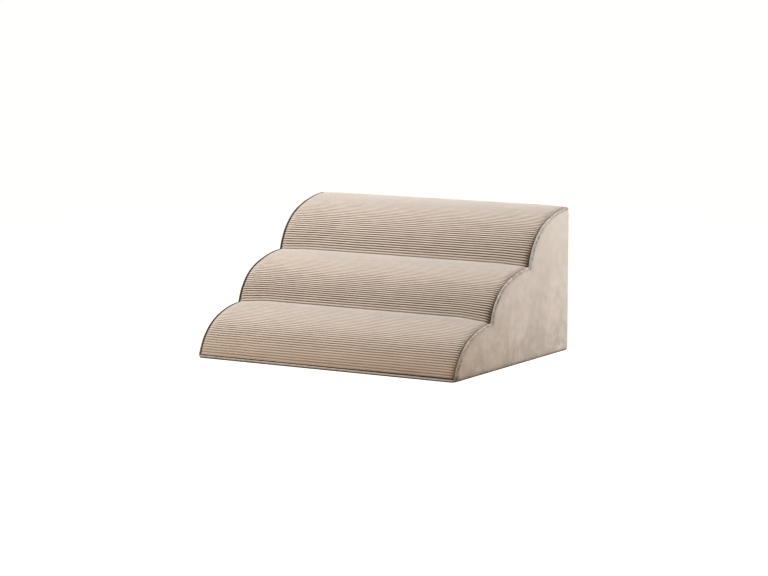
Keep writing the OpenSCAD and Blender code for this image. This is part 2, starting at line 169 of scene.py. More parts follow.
def valley(i):
    """Where lobe i starts."""
    return np.array([sum(GOINGS[:i]) - BACK_Y, sum(RISES[:i])])


def lobe_radii(going, rise):
    """Radii of a lobe's two tangent arcs, its nose and its tread."""
    a = math.sin(RISER_SLOPE) - math.sin(NOSE_SLOPE)
    b = math.sin(NOSE_SLOPE) - math.sin(TREAD_SLOPE)
    c = math.cos(NOSE_SLOPE) - math.cos(RISER_SLOPE)
    d = math.cos(TREAD_SLOPE) - math.cos(NOSE_SLOPE)
    det = a * d - b * c
    return (going * d - rise * b) / det, (rise * a - going * c) / det


RADII = [lobe_radii(g, r) for g, r in zip(GOINGS, RISES)]
NOSE_CENTRES = [valley(i) - RADII[i][0] * normal(RISER_SLOPE) for i in LOBES]
TREAD_CENTRES = [valley(i + 1) - RADII[i][1] * normal(TREAD_SLOPE) for i in LOBES]
MITRE = (normal(TREAD_SLOPE) + normal(RISER_SLOPE)) / (1 + math.cos(RISER_SLOPE - TREAD_SLOPE))


def lobe_point(i, a, depth):
    """Points of lobe i at slopes a, that deep below the crests of the ribs."""
    a, depth = np.broadcast_arrays(np.asarray(a, float), np.asarray(depth, float))
    nose = NOSE_CENTRES[i] + (RADII[i][0] - depth)[..., None] * normal(a)
    tread = TREAD_CENTRES[i] + (RADII[i][1] - depth)[..., None] * normal(a)
    return np.where((a > NOSE_SLOPE)[..., None], nose, tread)


def slope_at_z(z, depth):
    """Slope at which the lower lobe's line at a depth reaches height z."""
    return np.arccos((z - NOSE_CENTRES[0][1]) / (RADII[0][0] - depth))


def slope_at_y(y, depth):
    """Slope at which the upper lobe's line at a depth reaches y."""
    return np.arcsin((TREAD_CENTRES[2][0] - y) / (RADII[2][1] - depth))


def slope_along(i, first, s):
    """Slope at a distance s along lobe i's crests from the slope where it starts."""
    nose_l = RADII[i][0] * (first - NOSE_SLOPE)
    return np.where(s < nose_l, first - s / RADII[i][0], NOSE_SLOPE - (s - nose_l) / RADII[i][1])


def lobe_slopes(i, depth, z, y, near=(), nose=20, tread=12):
    """Slopes along lobe i from height z in front to y behind, with points near those two ends."""
    low = [slope_at_z(z + e, depth) for e in near] if i == 0 else []
    first = slope_at_z(z + max(near, default=0), depth) if i == 0 else RISER_SLOPE
    last = slope_at_y(y - max(near, default=0), depth) if i == 2 else TREAD_SLOPE
    high = [slope_at_y(y - e, depth) for e in reversed(near)] if i == 2 else []
    middle = [*np.linspace(first, NOSE_SLOPE, nose, endpoint=False), *np.linspace(NOSE_SLOPE, last, tread)]
    return [*low[:-1], *middle, *high[1:]]


def stair_line(depth, z, y, near=(), turn=4, nose=20, tread=12):
    """The stairs' line at a depth, round in the valleys, and its outward direction at each point."""
    points, out = [], []
    for i in LOBES:
        slopes = np.array(lobe_slopes(i, depth, z, y, near, nose, tread))
        if i:
            corner = np.linspace(TREAD_SLOPE, RISER_SLOPE, turn + 2)[1:-1]
            points += list(valley(i) - depth * normal(corner))
            out += list(normal(corner))
        points += list(lobe_point(i, slopes, depth))
        out += list(normal(slopes))
    return np.array(points), np.array(out)


def area_under(line, base):
    """Area between a line in the side view and a height below it."""
    return float(np.sum((line[1:, 1] + line[:-1, 1] - 2 * base) / 2 * np.diff(line[:, 0])))


# Small tools. Sizes, widths, radii and steps are in millimetres here, and places in metres.


def ripple(u, v, size, seed, waves=9):
    """A smooth uneven field between about -1 and 1, with swells of about that size, the same each run."""
    size = size * MM
    rng = np.random.default_rng(seed)
    total = 0
    for angle, phase, share in zip(*(rng.uniform(0, 1, waves) for _ in range(3))):
        turn, length = 2 * math.pi * angle, size * (0.7 + share)
        total = total + np.sin(2 * math.pi * ((u * math.cos(turn) + v * math.sin(turn)) / length + phase))
    return total / waves**0.5 / 1.4


def smooth(t):
    """0 below 0, 1 above 1, and a soft step between."""
    t = np.clip(t, 0, 1)
    return t * t * (3 - 2 * t)


def ramp(distance, start, over):
    """0 up to a distance, and 1 from a way beyond it."""
    return smooth((distance - start * MM) / (over * MM))


def past(slope, start, over):
    """0 up to a slope in degrees, and 1 from some degrees beyond it."""
    return smooth((slope - math.radians(start)) / math.radians(over))


def bell(distance, width):
    """1 at a place, and 0 away from it on both sides."""
    return np.exp(-((distance / (width * MM)) ** 2))


def rounded(distance, radius):
    """A quarter round: 0 at an edge, 1 from a radius away."""
    t = 1 - np.clip(distance / (radius * MM), 0, 1)
    return np.sqrt(1 - t * t)


def spread(low, high, step, near):
    """Places from low to high about a step apart, with closer ones near both ends."""
    near = np.array(near) * MM
    inner = np.linspace(low + near[-1], high - near[-1], round((high - low) / (step * MM)) + 1)
    return np.unique(np.concatenate([low + near, inner, high - near]).round(9))


def stacked(*parts):
    """Points from their coordinates, or a map from its two."""
    return np.stack(np.broadcast_arrays(*parts), -1)


def at_x(x, yz):
    """Points of the side view at places across the width."""
    return stacked(x, yz[..., 0], yz[..., 1])


def distances(path):
    """How far along a path each of its points is."""
    return np.concatenate([[0], np.cumsum(np.linalg.norm(np.diff(path, axis=0), axis=1))])


def points_at(path, far, at):
    """Points of a path at places along it, where far is how far along its own points are."""
    return np.stack([np.interp(at, far, column) for column in path.T], -1)


def unit(vectors):
    return vectors / np.linalg.norm(vectors, axis=-1, keepdims=True)


def turns(sides):
    """Angles round a circle."""
    return np.linspace(0, 2 * math.pi, sides, endpoint=False)


def quads(rows, cols, flip=False):
    """Faces of a grid of points."""
    r, c = np.mgrid[0 : rows - 1, 0 : cols - 1]
    a = r * cols + c
    faces = np.stack([a, a + 1, a + cols + 1, a + cols], -1).reshape(-1, 4)
    return faces[:, ::-1] if flip else faces


def loft(rings, sides):
    """Faces of rings of points one after another, with closed ends."""
    faces = [
        (r + k, r + (k + 1) % sides, r + sides + (k + 1) % sides, r + sides + k)
        for r in range(0, (rings - 1) * sides, sides)
        for k in range(sides)
    ]
    return [*faces, tuple(range(sides)), tuple(range((rings - 1) * sides, rings * sides))]


def add_object(name, data):
    obj = bpy.data.objects.new(name, data)
    bpy.context.scene.collection.objects.link(obj)
    return obj


class Shape:
    """Points and faces collected for one piece, with a material number for each face."""

    def __init__(self):
        self.points, self.faces, self.slots, self.uv, self.painted_shading, self.count = [], [], [], [], [], 0

    def add(self, points, faces, slot=0, uv=None, painted_shading=None):
        points = np.asarray(points, float).reshape(-1, 3)
        n = len(points)
        faces = [[int(v) + self.count for v in f] for f in faces]
        self.points.append(points)
        self.faces += faces
        self.slots += [slot] * len(faces)
        self.uv.append(points[:, :2] if uv is None else np.asarray(uv, float).reshape(-1, 2))
        self.painted_shading.append(np.ones(n) if painted_shading is None else np.broadcast_to(painted_shading, (n,)))
        self.count += n
        return self

    def sheet(self, outer, inner, uv):
        """A closed sheet between two grids of the same size."""
        rows, cols = outer.shape[:2]
        n = rows * cols
        grid = np.arange(n).reshape(rows, cols)
        edge = np.concatenate([grid[0, :-1], grid[:-1, -1], grid[-1, :0:-1], grid[:0:-1, 0]])
        faces = [*quads(rows, cols), *(quads(rows, cols, True) + n)]
        faces += [(b, a, a + n, b + n) for a, b in zip(edge, np.roll(edge, -1))]
        return self.add(np.array([outer, inner]), faces, 0, np.array([uv, uv]))

    def tube(self, path, radius, sides, across, slot=0, painted_shading=None):
        """A round cord along a path, with closed ends. across is never along the path."""
        along = unit(np.gradient(path, axis=0))
        one = unit(np.cross(along, across))[:, None]
        two = np.cross(along[:, None], one)
        turn = turns(sides)
        ring = np.cos(turn)[:, None] * one + np.sin(turn)[:, None] * two
        faces = loft(len(path), sides)
        faces[-2] = faces[-2][::-1]
        uv = stacked(turn / (2 * math.pi), distances(path)[:, None])
        return self.add(path[:, None] + np.reshape(radius, (-1, 1, 1)) * ring, faces, slot, uv, painted_shading)

    def piece(self, name, materials, weld=False, outside=True):
        """The finished mesh object, with its normals outwards."""
        mesh = bpy.data.meshes.new(name)
        mesh.from_pydata(np.concatenate(self.points).tolist(), [], self.faces)
        uv, painted_shading = np.concatenate(self.uv), np.concatenate(self.painted_shading)
        corners = np.zeros(len(mesh.loops), np.int32)
        mesh.loops.foreach_get("vertex_index", corners)
        mesh.uv_layers.new(name="cloth").data.foreach_set("uv", uv[corners].astype(np.float32).ravel())
        # How much painted shade, and on the right cord painted light, each point gets
        mesh.attributes.new("painted_shading", "FLOAT", "POINT").data.foreach_set("value", painted_shading.astype(np.float32))
        for m in materials:
            mesh.materials.append(m)
        mesh.polygons.foreach_set("material_index", np.array(self.slots, np.int32))
        b = bmesh.new()
        b.from_mesh(mesh)
        if weld:
            bmesh.ops.remove_doubles(b, verts=b.verts, dist=1e-7)
        if outside:
            bmesh.ops.recalc_face_normals(b, faces=b.faces)
        for f in b.faces:
            f.smooth = True
        b.to_mesh(mesh)
        b.free()
        return add_object(name, mesh)


def place(piece, node):
    """The piece stands for its CAD node and rides on the stairs."""
    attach(piece, BODY)
    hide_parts(node)
    return piece


def join(obj, other):
    """Joins the other object's mesh into obj, whose materials keep their place."""
    target = bmesh.new()
    target.from_mesh(obj.data)
    count, mesh = len(target.faces), other.data
    numbers = [obj.data.materials.find(m.name) for m in mesh.materials]
    target.from_mesh(mesh)
    target.faces.ensure_lookup_table()
    for f in target.faces[count:]:
        f.material_index = max(0, numbers[f.material_index])
    target.to_mesh(obj.data)
    target.free()
    bpy.data.objects.remove(other)
    bpy.data.meshes.remove(mesh)


def thicken(obj):
    """Gives an open sheet the suede's thickness, inwards, and applies it."""
    m = obj.modifiers.new("thickness", "SOLIDIFY")
    m.thickness, m.offset, m.use_rim, m.use_even_offset = SUEDE_T, -1, True, False
    old = obj.data
    mesh = bpy.data.meshes.new_from_object(obj.evaluated_get(bpy.context.evaluated_depsgraph_get()))
    obj.modifiers.clear()
    obj.data = mesh
    mesh.name = old.name
    bpy.data.meshes.remove(old)


def sew(obj, path, out, thread, ends):
    """Adds a row of stitches along a path on obj, raised towards out, each diving in at its two ends."""
    sewn, far = Shape(), distances(path)
    for middle in np.arange(ends, far[-1] - ends, STITCH_PITCH):
        at = middle + STITCH_PLACES * STITCH_L / 2
        line = points_at(path, far, at) + (STITCH_RISE * THREAD_R)[:, None] * out
        sewn.tube(line, THREAD_R * STITCH_THICK, 6, out)
    join(obj, sewn.piece("stitches", [thread]))


# Materials


def scaled(colour, factor):
    return tuple(min(1.0, c * factor) for c in colour)


class Nodes:
    """A node tree being filled. Inputs are plain values, or outputs of other nodes."""

    def __init__(self, tree):
        self.tree = tree

    def put(self, socket, value):
        if isinstance(value, bpy.types.NodeSocket):
            self.tree.links.new(value, socket)
        else:
            socket.default_value = value

    def node(self, kind, settings=None, **inputs):
        n = self.tree.nodes.new("ShaderNode" + kind)
        for key, value in (settings or {}).items():
            setattr(n, key, value)
        for key, value in inputs.items():
            self.put(n.inputs[key.replace("_", " ")], value)
        return n

    def calc(self, operation, *values, clamp=False):
        n = self.node("Math", {"operation": operation, "use_clamp": clamp})
        for socket, value in zip(n.inputs, values):
            self.put(socket, value)
        return n.outputs[0]

    def times(self, a, b):
        return self.calc("MULTIPLY", a, b)

    def rest(self, value):
        """1 less a value."""
        return self.calc("SUBTRACT", 1.0, value)

    def mixed(self, factor, a, b, blend="MIX"):
        """Two colours mixed by a factor."""
        n = self.node("Mix", {"data_type": "RGBA", "blend_type": blend})
        for index, value in ((0, factor), (6, a), (7, b)):
            self.put(n.inputs[index], (*value, 1) if isinstance(value, tuple) else value)
        return n.outputs[2]

    def ranged(self, value, low, high, to_low=0.0, to_high=1.0):
        """A value's range moved to another, kept inside it."""
        limits = dict(From_Min=low, From_Max=high, To_Min=to_low, To_Max=to_high)
        return self.node("MapRange", None, Value=value, **limits).outputs[0]

    def shades(self, value, low, high, colour, dark, light):
        """A colour between two shades of it, by a value's place between low and high."""
        return self.mixed(self.ranged(value, low, high), scaled(colour, dark), scaled(colour, light))

    def place(self, scale=(1, 1, 1), source="Object", turn=(0, 0, 0)):
        """Coordinates on the piece, scaled: Object is its place in metres and UV its own map in metres."""
        where = self.node("TexCoord").outputs[source]
        return self.node("Mapping", None, Vector=where, Scale=scale, Rotation=turn).outputs[0]

    def axis(self, where, index):
        return self.node("SeparateXYZ", None, Vector=where).outputs[index]

    def painted_shading(self):
        """Painted shade and light carried by a piece's points: 1 where none, less the more is painted."""
        return self.node("Attribute", {"attribute_name": "painted_shading"}).outputs["Fac"]

    def noise(self, where, scale, detail, rough, twist=0.0):
        form = dict(Scale=scale, Detail=detail, Roughness=rough, Distortion=twist)
        return self.node("TexNoise", None, Vector=where, **form).outputs[0]

    def threads(self, where, direction, scale=1.0, **more):
        settings = {"wave_type": "BANDS", "bands_direction": direction, "wave_profile": "SIN"}
        return self.node("TexWave", settings, Vector=where, Scale=scale, **more).outputs["Fac"]

    def cells(self, where, scale, feature="F1", **more):
        n = self.node("TexVoronoi", {"feature": feature}, Vector=where, Scale=scale, **more)
        return n.outputs["Distance"]


class Look(Nodes):
    """A material, with its plain values set on the shader itself."""

    def __init__(self, name, roughness, sheen=0.0, sheen_roughness=0.5, tint=(1, 1, 1), metallic=0.0):
        self.material = bpy.data.materials.new(name)
        self.material.use_nodes = True
        super().__init__(self.material.node_tree)
        self.shader = self.tree.nodes["Principled BSDF"]
        self.set(Roughness=roughness, Sheen_Weight=sheen, Sheen_Roughness=sheen_roughness)
        self.set(Sheen_Tint=(*tint, 1), Metallic=metallic)

    def set(self, **values):
        for key, value in values.items():
            self.put(self.shader.inputs[key.replace("_", " ")], value)

    def done(self, base, *bumps):
        """The material with its colour and its bumps, each a height from 0 to 1, a depth and a strength."""
        self.set(Base_Color=base)
        last = {}
        for height, depth, strength in bumps:
            n = self.node("Bump", None, Height=height, Distance=depth, Strength=strength, **last)
            last = {"Normal": n.outputs[0]}
        self.set(**last)
        return self.material


def corduroy_material():
    """Brushed ribs whose nap leans in patches, with painted shade between them, by the seams, on treads and
    low down.
    """
    m = Look("corduroy", 0.95, 0.25, 0.45, (1, 0.95, 0.9))
    where, painted_shading = m.place(), m.painted_shading()
    patches = m.noise(where, 16, 2, 0.55, 0.6)
    streaks = m.noise(m.place((28, 175, 1), "UV"), 1, 2, 0.6)
    tufts = m.noise(m.place((1100, 1700, 1), "UV"), 1, 3, 0.6)
    strands = m.noise(m.place((420, 90, 1), "UV"), 1, 2, 0.5)
    base = m.shades(patches, 0.3, 0.7, CORDUROY, 0.94, 1.05)
    base = m.mixed(m.ranged(tufts, 0.25, 0.75), scaled(CORDUROY, 0.84), base)
    # Painted shade from the noses back over the treads: darker and greyer there
    along = m.axis(m.place(source="UV"), 1)
    base = m.mixed(m.ranged(along, 0.085, 0.16), base, TREAD_SHADE, "MULTIPLY")
    # Painted shade near the floor: browner and darker towards the bottom, and most at the right
    low = m.times(m.ranged(m.axis(where, 2), 0.070, 0.002), m.ranged(m.axis(where, 0), -0.3, 0.1, 0.65, 1.0))
    base = m.mixed(low, base, CORDUROY_FLOOR_SHADE, "MULTIPLY")
    # Painted shade between the ribs and beside the seams, carried by the points and broken up by streaks
    groove = m.times(m.ranged(painted_shading, 1.0, 0.0), m.ranged(streaks, 0.3, 0.65, 0.6, 1.0))
    base = m.mixed(m.ranged(groove, 0.0, 0.5, 0.0, 0.6), base, CORDUROY_FLANK)
    base = m.mixed(m.calc("POWER", groove, 1.25), base, CORDUROY_GROOVE)
    base = m.mixed(m.times(painted_shading, -1.0), base, SEAM_SHADE)
    return m.done(base, (tufts, 0.35 * MM, 0.6), (strands, 0.3 * MM, 0.35))


def suede_material(name="suede", colour=SUEDE, mottle=0.17):
    """Short brushed nap: soft patches, upright brush strokes and a fine grain, with painted shade low down
    and by seams.
    """
    m = Look(name, 0.93, 0.45, 0.4, (1, 0.96, 0.92))
    where = m.place()
    height = m.axis(where, 2)
    clouds = m.noise(where, 52, 3, 0.6, 0.5)
    strokes = m.noise(m.place((95, 95, 12)), 1, 2, 0.55)
    grain = m.noise(where, 1500, 3, 0.65)
    dark = tuple(c * (1 - mottle * share) for c, share in zip(colour, (0.9, 1.05, 1.2)))
    tone = m.calc("ADD", m.times(m.noise(where, 15, 3, 0.55, 0.8), 0.48), m.times(clouds, 0.39))
    tone = m.calc("ADD", tone, m.times(strokes, 0.13))
    high = m.ranged(height, 0.24, 0.10, 0.45, 0.95)
    strength = m.calc("ADD", high, m.ranged(height, 0.09, 0.02, 0.0, 0.9))
    tone = m.calc("SUBTRACT", m.ranged(tone, 0.36, 0.64), 0.5)
    base = m.mixed(m.calc("MULTIPLY_ADD", tone, strength, 0.5), dark, scaled(colour, 1 + mottle))
    base = m.mixed(m.ranged(grain, 0.3, 0.75, 0.0, 0.35), base, scaled(colour, 0.72))
    # Painted shade towards the lower front of the side panels
    low = m.times(m.ranged(height, 0.15, 0.0, 0.0, 0.43), m.ranged(m.axis(where, 1), 0.16, -0.16))
    base = m.mixed(low, base, SUEDE_LOW_SHADE)
    hue = m.noise(m.place(turn=(0.6, 0.4, 0.9)), 21, 2, 0.5, 0.4)
    base = m.mixed(m.ranged(hue, 0.42, 0.62), base, (1.0, 0.965, 0.955), "MULTIPLY")
    # Painted shade carried by the points, uneven along the seams
    uneven_shade = m.ranged(m.noise(where, 170, 1, 0.5), 0.38, 0.62, 0.16, 0.5)
    base = m.mixed(m.calc("MULTIPLY", m.rest(m.painted_shading()), uneven_shade, clamp=True), base, SUEDE_SEAM_SHADE)
    return m.done(base, (grain, 0.12 * MM, 0.7), (clouds, 0.8 * MM, 0.25))


def woven_material(name, colour, pitch, roughness, sheen, contrast, depth=0.12 * MM, axes="XZ"):
    """Plain woven cloth: two sets of threads across each other, with uneven yarn."""
    m = Look(name, roughness, sheen)
    where, scale = m.place(), math.pi / 10 / pitch
    cloth = m.times(*(m.threads(where, a, scale, Distortion=0.6, Detail=1.0, Detail_Scale=1.5) for a in axes))
    base = m.shades(m.noise(where, 60, 3, 0.6), 0.3, 0.7, colour, 0.92, 1.06)
    base = m.mixed(m.times(m.rest(cloth), contrast), base, scaled(colour, 0.55))
    return m.done(base, (cloth, depth, 0.6), (m.noise(where, 2200, 2, 0.6), 0.05 * MM, 0.5))


def cord_material():
    """Dark cloth wound round a cord: slanting yarn, fluffy flecks, and painted light as a lighter brown on
    the right cord.
    """
    m = Look("piping_cloth", 0.88, 0.15)
    yarn = m.threads(m.place((6, 1600, 1), "UV"), "DIAGONAL", Distortion=0.8, Detail=1.0)
    fluff_and_painted_light = m.noise(m.place(), 900, 3, 0.6)
    base = m.mixed(yarn, scaled(CORD_BROWN, 0.6), scaled(CORD_BROWN, 1.25))
    base = m.mixed(m.ranged(fluff_and_painted_light, 0.55, 0.8, 0.0, 0.5), base, scaled(CORD_BROWN, 2.0))
    # Painted light: a lighter brown where the right cord is lit, uneven with the flecks
    base = m.mixed(m.times(m.rest(m.painted_shading()), m.ranged(fluff_and_painted_light, 0.3, 0.6, 0.5, 1.0)), base, CORD_LIT_BROWN)
    return m.done(base, (yarn, 0.15 * MM, 0.7), (fluff_and_painted_light, 0.1 * MM, 0.5))


def foam_material(name, colour, cell):
    """Open foam: cells with thin walls, some of them deeper."""
    m = Look(name, 0.9, 0.05)
    where = m.place()
    cells, walls = m.cells(where, 1 / cell), m.cells(where, 0.45 / cell, "DISTANCE_TO_EDGE")
    base = m.shades(m.noise(where, 9, 3, 0.6), 0.3, 0.7, colour, 0.93, 1.03)
    base = m.mixed(m.ranged(cells, 0.1, 0.7, 0.0, 0.35), base, scaled(colour, 0.7))
    return m.done(base, (cells, 0.35 * MM, 0.7), (m.ranged(walls, 0, 0.2), 0.2 * MM, 0.4))


def hook_material():
    """Hook tape: rows of stiff hooks."""
    m = Look("hook_tape", 0.75, 0.1)
    height = m.ranged(m.cells(m.place(), 1 / (1.3 * MM), Randomness=0.15), 0.15, 0.45, 1.0, 0.0)
    return m.done(m.mixed(height, scaled(HOOK, 0.55), scaled(HOOK, 1.15)), (height, 0.5 * MM, 0.8))


def loop_material():
    """Loop tape: a mat of loops."""
    m = Look("loop_tape", 0.95, 0.35)
    height = m.noise(m.place(), 1 / (0.5 * MM), 4, 0.7, 1.5)
    return m.done(m.mixed(height, scaled(LOOP, 0.55), scaled(LOOP, 1.15)), (height, 0.5 * MM, 0.8))


def metal_material():
    """Brushed zip metal with fine scratches and rubbed, brighter places."""
    m = Look("zip_metal", 0.35, metallic=1.0)
    brushed = m.noise(m.place((350, 6000, 6000)), 1, 3, 0.6)
    m.set(Roughness=m.ranged(brushed, 0.3, 0.7, 0.26, 0.48))
    rubbed = m.noise(m.place(), 300, 2, 0.5)
    return m.done(m.shades(rubbed, 0.35, 0.7, METAL, 0.82, 1.08), (brushed, 0.02 * MM, 0.4))


def nylon_material():
    """Drawn nylon with a soft shine along it."""
    m = Look("zip_coil", 0.42)
    where = m.place()
    shade = m.noise(where, 700, 2, 0.5)
    m.set(Roughness=m.ranged(shade, 0.3, 0.7, 0.36, 0.5))
    fine = m.noise(where, 4000, 2, 0.5)
    return m.done(m.shades(shade, 0.3, 0.7, COIL, 0.85, 1.12), (fine, 0.03 * MM, 0.4))


def thread_material(name, colour):
    """Twisted sewing thread."""
    m = Look(name, 0.7, 0.2)
    twist = m.threads(m.place((3, 2600, 1), "UV"), "DIAGONAL")
    return m.done(m.mixed(twist, scaled(colour, 0.7), scaled(colour, 1.1)), (twist, 0.06 * MM, 0.6))


def rubber_material():
    """Soft grip dots, a little dusty."""
    m = Look("grip_dots", 0.55)
    dust = m.noise(m.place(), 500, 3, 0.6)
    return m.done(m.shades(dust, 0.4, 0.7, GRIP_DOT, 0.85, 1.2), (dust, 0.04 * MM, 0.5))


# Cover: corduroy


def taut(x):
    """1 at the left seam, where the sewing has pulled the ribs flatter, and 0 away from it."""
    return bell(TREAD_X + x, 7)


def valley_lift(i, x):
    """Distance along the riser by which the valley below lobe i has moved up."""
    side = TREAD_X - np.abs(x)
    return VALLEY_LIFT[i] * (0.35 * ramp(side, 0, 9) + 0.65 * ramp(side, 0, 75))


def riser_move(i, x, depth):
    """The same move as a change in y and z."""
    moved = lobe_point(i, slope_along(i, RISER_SLOPE, valley_lift(i, x)), depth)
    return moved - lobe_point(i, RISER_SLOPE, depth)


def crown(x, share):
    """How far the upper lobe's rear stands up between the seams, at a share of its length."""
    side = TREAD_X - np.abs(x)
    return 1.9 * MM * (0.3 + 0.7 * ramp(side, 0, 60)) * smooth((share - 0.45) / 0.4)


def groove_shade(i, drop, slope, x):
    """Painted shade between the ribs: most on the middle and upper risers, least on the treads and by the
    left seam.
    """
    low = np.clip(drop, 0, 1)
    steep, steeper = past(slope, 6, 34), past(slope, 34, 24)
    share = 0.74 + (0.13, 0.62, 0.6)[i] * steep + (0, 0.12, 0.18)[i] * steeper
    if i == 0:
        share = share - 0.52 * past(slope, 42, 20) - 0.3 * past(slope, 62, 10)
    mark = (1 - steep) * low**0.85 + steep * smooth((low - 0.06) / (0.42 - 0.06 * steeper))
    return share * mark * (1 - 0.6 * taut(x))


def ribbed(i, s, drop, x, first, count):
    """A panel's outer points, with ribs, and its inner ones, with a row under each groove."""
    length = s[-1]
    pitch = length / count
    sx, xx = np.meshgrid(s, x, indexing="ij")
    ends = ramp(sx, 0, 12) * ramp(length - sx, 0, 12)
    side = TREAD_X - np.abs(xx)
    rib = np.round(sx / pitch - 0.5) * pitch
    waver = 0.24 * MM * ripple(xx, rib, 95, 11 + i) * ends
    swell = -(0.6 + 0.35 * ripple(xx, sx, 120, 21 + i)) * MM * ends * ramp(side, 0, 30)
    pucker = 0.22 * MM * ripple(xx * 0.2, sx, 11, 31 + i) * np.exp(-side / (6 * MM)) * ends
    seam = 2.3 * MM * (1 - rounded(side, np.where(xx > 0, ROLLS_IN[1], ROLLS_IN[0])))
    height = (1 + 0.1 * ripple(xx, rib * 3, 60, 41 + i)) * (1 - 0.5 * taut(xx))
    if i == 0:
        height = height * (1 - 0.45 * past(slope_along(i, first, sx), 48, 18))
    if i == 2:
        swell = swell - crown(xx, sx / length)
    depth = GROOVE_DEPTH * drop[:, None] * height + swell + pucker + seam
    if i == 0:
        depth[:2] -= GROOVE_DEPTH * 0.5
    lift = valley_lift(i, xx) * bell(sx, 45)
    rise = bell(length - sx, 42)[..., None] * (riser_move(i + 1, xx, RIB_H) if i < 2 else 0)
    outer = lobe_point(i, slope_along(i, first, sx + waver + lift), depth) + rise
    g = np.arange(count + 1) * len(RIB_PHASES)
    inner = lobe_point(i, slope_along(i, first, (sx + lift)[g]), CORDUROY_T + (swell + seam * 0.15)[g])
    return at_x(xx, outer), at_x(xx[g], inner + rise[g])


def with_row(grid, row, lead):
    """A grid with one more row, before its first or after its last."""
    row = np.asarray(row)[None]
    return np.concatenate([row, grid] if lead else [grid, row])


def with_corners(i, outer, inner, s, drop):
    """Adds the rows where a panel meets its neighbour in a valley."""
    for at, lead in ((i, True), (i + 1, False)):
        if at not in (1, 2):
            continue
        slope, end = (RISER_SLOPE, 0) if lead else (TREAD_SLOPE, -1)
        step, deeper = (valley(at) - d * MITRE - lobe_point(i, slope, d) for d in (RIB_H, CORDUROY_T))
        outer = with_row(outer, outer[end] + [0, *step], lead)
        inner = with_row(inner, inner[end] + [0, *deeper], lead)
        s = with_row(s, s[end] + np.linalg.norm(step) * (-1 if lead else 1), lead)
        drop = with_row(drop, 0.6, lead)
    return outer, inner, s, drop


def tread_faces(i, rows, inner_rows, cols, count):
    """Faces of a panel's outer and inner sides, its cut edges at the side seams, its front and its rear."""
    n = rows * cols
    faces = [*quads(rows, cols), *(quads(inner_rows, cols, True) + n)]
    lead = 1 if i else 0
    marks = [0] * lead + [lead + k * len(RIB_PHASES) for k in range(count + 1)] + [rows - 1] * (i < 2)
    for k in range(len(marks) - 1):
        for column, flip in ((0, False), (cols - 1, True)):
            top = [r * cols + column for r in range(marks[k], marks[k + 1] + 1)]
            face = [*top, n + (k + 1) * cols + column, n + k * cols + column]
            faces.append(face[::-1] if flip else face)
    for c in range(cols - 1):
        a, b = (rows - 1) * cols + c, n + (inner_rows - 1) * cols + c
        faces += [(c + 1, c, n + c, n + c + 1), (a, a + 1, b + 1, b)]
    return faces


def tread_painted_shade(i, s, drop, x, first):
    """Painted shading of a panel's outer points: shade in the grooves, beside the right seam and along the
    left edge.
    """
    slope, drop = slope_along(i, first, s)[:, None], drop[:, None]
    seam_shade_share = 0.3 + 0.45 * past(slope, 48, 20)
    near, far = (np.where(x > 0, bell(TREAD_X - x, d), 0) for d in SEAM_DARK)
    fade = 1 - 0.75 * bell(s, 9) if i else 1 + 0 * s
    if i < 2:
        fade = fade * (1 - 0.75 * bell(s[-1] - s, 12))
    beside = 1 - 0.5 * past(slope, 40, 25) if i == 0 else 1
    painted_shading = 1 - groove_shade(i, drop, slope, x) * fade[:, None]
    # Painted shade beside the right seam, and a narrow band of it along the left edge by the cord
    painted_shading = painted_shading - beside * (seam_shade_share * near + far * np.clip(drop, 0, 1)) - 1.2 * bell(TREAD_X + x, 2.0)
    if i == 0:
        # The lowest rows, just above the front cord, get only light painted shade, more by the right seam
        painted_shading[:2] = 0.75 - 0.5 * near
    return painted_shading


def tread_cover(i, material):
    """A corduroy panel over lobe i. Its ribs run across, waver a little, and roll down into the seams."""
    first = slope_at_z(TREAD_LOW_Z, RIB_H) if i == 0 else RISER_SLOPE
    last = slope_at_y(BACK_Y, RIB_H) if i == 2 else TREAD_SLOPE
    length = RADII[i][0] * (first - NOSE_SLOPE) + RADII[i][1] * (NOSE_SLOPE - last)
    count = round(length / RIB_PITCH)
    ribs = (np.arange(count) + 0.5)[:, None] + np.sin(RIB_PHASES) / 2
    s = np.append(ribs.ravel() * (length / count), length)
    drop = np.append(np.tile(1 - np.cos(RIB_PHASES), count), 1.0)
    x = spread(-TREAD_X, TREAD_X, 5.4, [0, 0.25, 0.6, 1.1, 1.7, 2.4, 3.4, 5.0, 7.5])
    outer, inner, s, drop = with_corners(i, *ribbed(i, s, drop, x, first, count), s, drop)
    inner_s = np.interp(np.arange(len(inner)), [0, len(inner) - 1], [s[0], s[-1]])
    uv = np.concatenate([stacked(x, s[:, None]), stacked(x, inner_s[:, None])])
    painted_shading = np.concatenate([tread_painted_shade(i, s, drop, x, first), np.zeros(inner.shape[:2])])
    faces = tread_faces(i, len(s), len(inner), len(x), count)
    shape = Shape().add(np.concatenate([outer, inner]), faces, 0, uv, painted_shading.ravel())
    cover = place(shape.piece("corduroy_" + NAMES[i], [material]), "tread_cover_" + NAMES[i])


# Cover: suede


